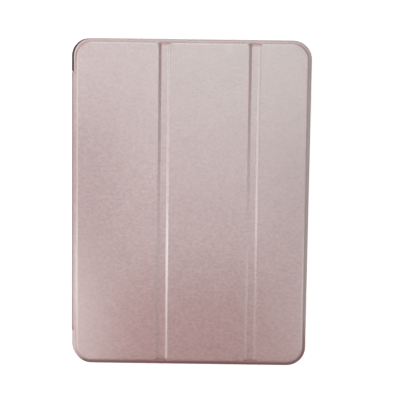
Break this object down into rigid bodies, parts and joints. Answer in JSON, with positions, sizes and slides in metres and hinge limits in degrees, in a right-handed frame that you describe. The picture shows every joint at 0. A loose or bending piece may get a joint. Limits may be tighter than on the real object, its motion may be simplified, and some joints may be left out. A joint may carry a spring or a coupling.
{
  "type": "tablet computer",
  "caption": "Slim tablet computer in a leather folio case with a hard back shell and a folding panel cover that rolls into a stand.",
  "frame": {"origin": "centre of the closed case's back, on the plane it rests on", "axes": "+Z out of the cover, +Y towards the tablet's top edge, the spine of the case on the -X side"},
  "size_m": [0.185, 0.254, 0.0104],
  "materials": {
    "rose_leather": "pearly rose-gold synthetic leather, fine pebble grain",
    "lining_cloth": "brushed microfibre",
    "shell_plastic": "glossy moulded shell with a pearl tint",
    "board_plastic": "pressed stiffener board",
    "anodised_aluminium": "bead-blasted and anodised",
    "key_aluminium": "satin anodised",
    "cover_glass": "polished, black printed border",
    "display_glass": "switched-off display, dark and glossy",
    "lens_glass": "coated lens window",
    "black_foam": "closed-cell foam",
    "black_plastic": "moulded",
    "white_plastic": "diffusing film",
    "lamp_plastic": "clear moulded lamp with a yellow phosphor",
    "speaker_plastic": "moulded",
    "speaker_mesh": "fine woven mesh",
    "steel": "stamped sheet",
    "tinned_steel": "tinned",
    "socket_steel": "drawn sleeve",
    "screw_steel": "machined",
    "magnet": "nickel plated",
    "battery_pouch": "foil pouch",
    "circuit_board": "solder mask",
    "chip_resin": "moulded resin",
    "graphite_sheet": "pressed graphite film",
    "flex_film": "copper on polyimide film"
  },
  "bodies": {
    "root": {"rear_housing": "anodised_aluminium", "cover_glass": "cover_glass", "display_gasket": "black_foam", "display_panel": "display_glass", "backlight_unit": "white_plastic", "display_back_plate": "steel", "display_flex": "flex_film", "front_camera": "black_plastic", "front_camera_bracket": "steel", "ambient_light_sensor": "black_plastic", "battery_cell_left": "battery_pouch", "battery_cell_right": "battery_pouch", "battery_adhesive_strips": "white_plastic", "battery_control_board": "circuit_board", "logic_board": "circuit_board", "processor": "chip_resin", "memory_chips": "chip_resin", "shield_can": "tinned_steel", "heat_spreader": "graphite_sheet", "board_screws": "screw_steel", "hall_sensor": "chip_resin", "rear_camera": "black_plastic", "rear_camera_ring": "anodised_aluminium", "rear_camera_window": "lens_glass", "flash_lamp": "lamp_plastic", "speaker_top_left": "speaker_plastic", "speaker_top_right": "speaker_plastic", "speaker_bottom_left": "speaker_plastic", "speaker_bottom_right": "speaker_plastic", "speaker_meshes": "speaker_mesh", "microphones": "tinned_steel", "power_switch": "flex_film", "volume_switches": "flex_film", "charging_port": "socket_steel", "port_bracket": "steel", "port_screws": "screw_steel", "wifi_antennas": "flex_film", "magnets_left_edge": "magnet", "magnets_right_edge": "magnet", "rear_shell": "shell_plastic", "back_leather": "rose_leather"},
    "power_key": {"power_key": "key_aluminium"},
    "volume_up_key": {"volume_up_key": "key_aluminium"},
    "volume_down_key": {"volume_down_key": "key_aluminium"},
    "spine": {"spine_leather": "rose_leather", "spine_board": "board_plastic", "spine_lining": "lining_cloth"},
    "panel_1": {"panel_1_leather": "rose_leather", "panel_1_board": "board_plastic", "panel_1_lining": "lining_cloth", "stand_magnets": "magnet"},
    "panel_2": {"panel_2_leather": "rose_leather", "panel_2_board": "board_plastic", "panel_2_lining": "lining_cloth"},
    "panel_3": {"panel_3_leather": "rose_leather", "panel_3_board": "board_plastic", "panel_3_lining": "lining_cloth", "closing_magnets": "magnet", "wake_magnet": "magnet"}
  },
  "joints": [
    {"name": "spine_hinge", "type": "hinge", "parent": "root", "child": "spine", "pos_m": [-0.0922, 0, 0.0003], "axis": [0, -1, 0], "range_deg": [0, 179.5]},
    {"name": "cover_hinge", "type": "hinge", "parent": "spine", "child": "panel_1", "pos_m": [-0.0922, 0, 0.0089], "axis": [0, -1, 0], "range_deg": [0, 179.5]},
    {"name": "fold_1", "type": "hinge", "parent": "panel_1", "child": "panel_2", "pos_m": [-0.0212, 0, 0.0092], "axis": [0, 1, 0], "range_deg": [-142, 0]},
    {"name": "fold_2", "type": "hinge", "parent": "panel_2", "child": "panel_3", "pos_m": [0.0483, 0, 0.0092], "axis": [0, 1, 0], "range_deg": [-107, 0]},
    {"name": "power_key_press", "type": "slide", "parent": "root", "child": "power_key", "axis": [0, -1, 0], "range_m": [0, 0.00035]},
    {"name": "volume_up_press", "type": "slide", "parent": "root", "child": "volume_up_key", "axis": [-1, 0, 0], "range_m": [0, 0.00035]},
    {"name": "volume_down_press", "type": "slide", "parent": "root", "child": "volume_down_key", "axis": [-1, 0, 0], "range_m": [0, 0.00035]}
  ]
}
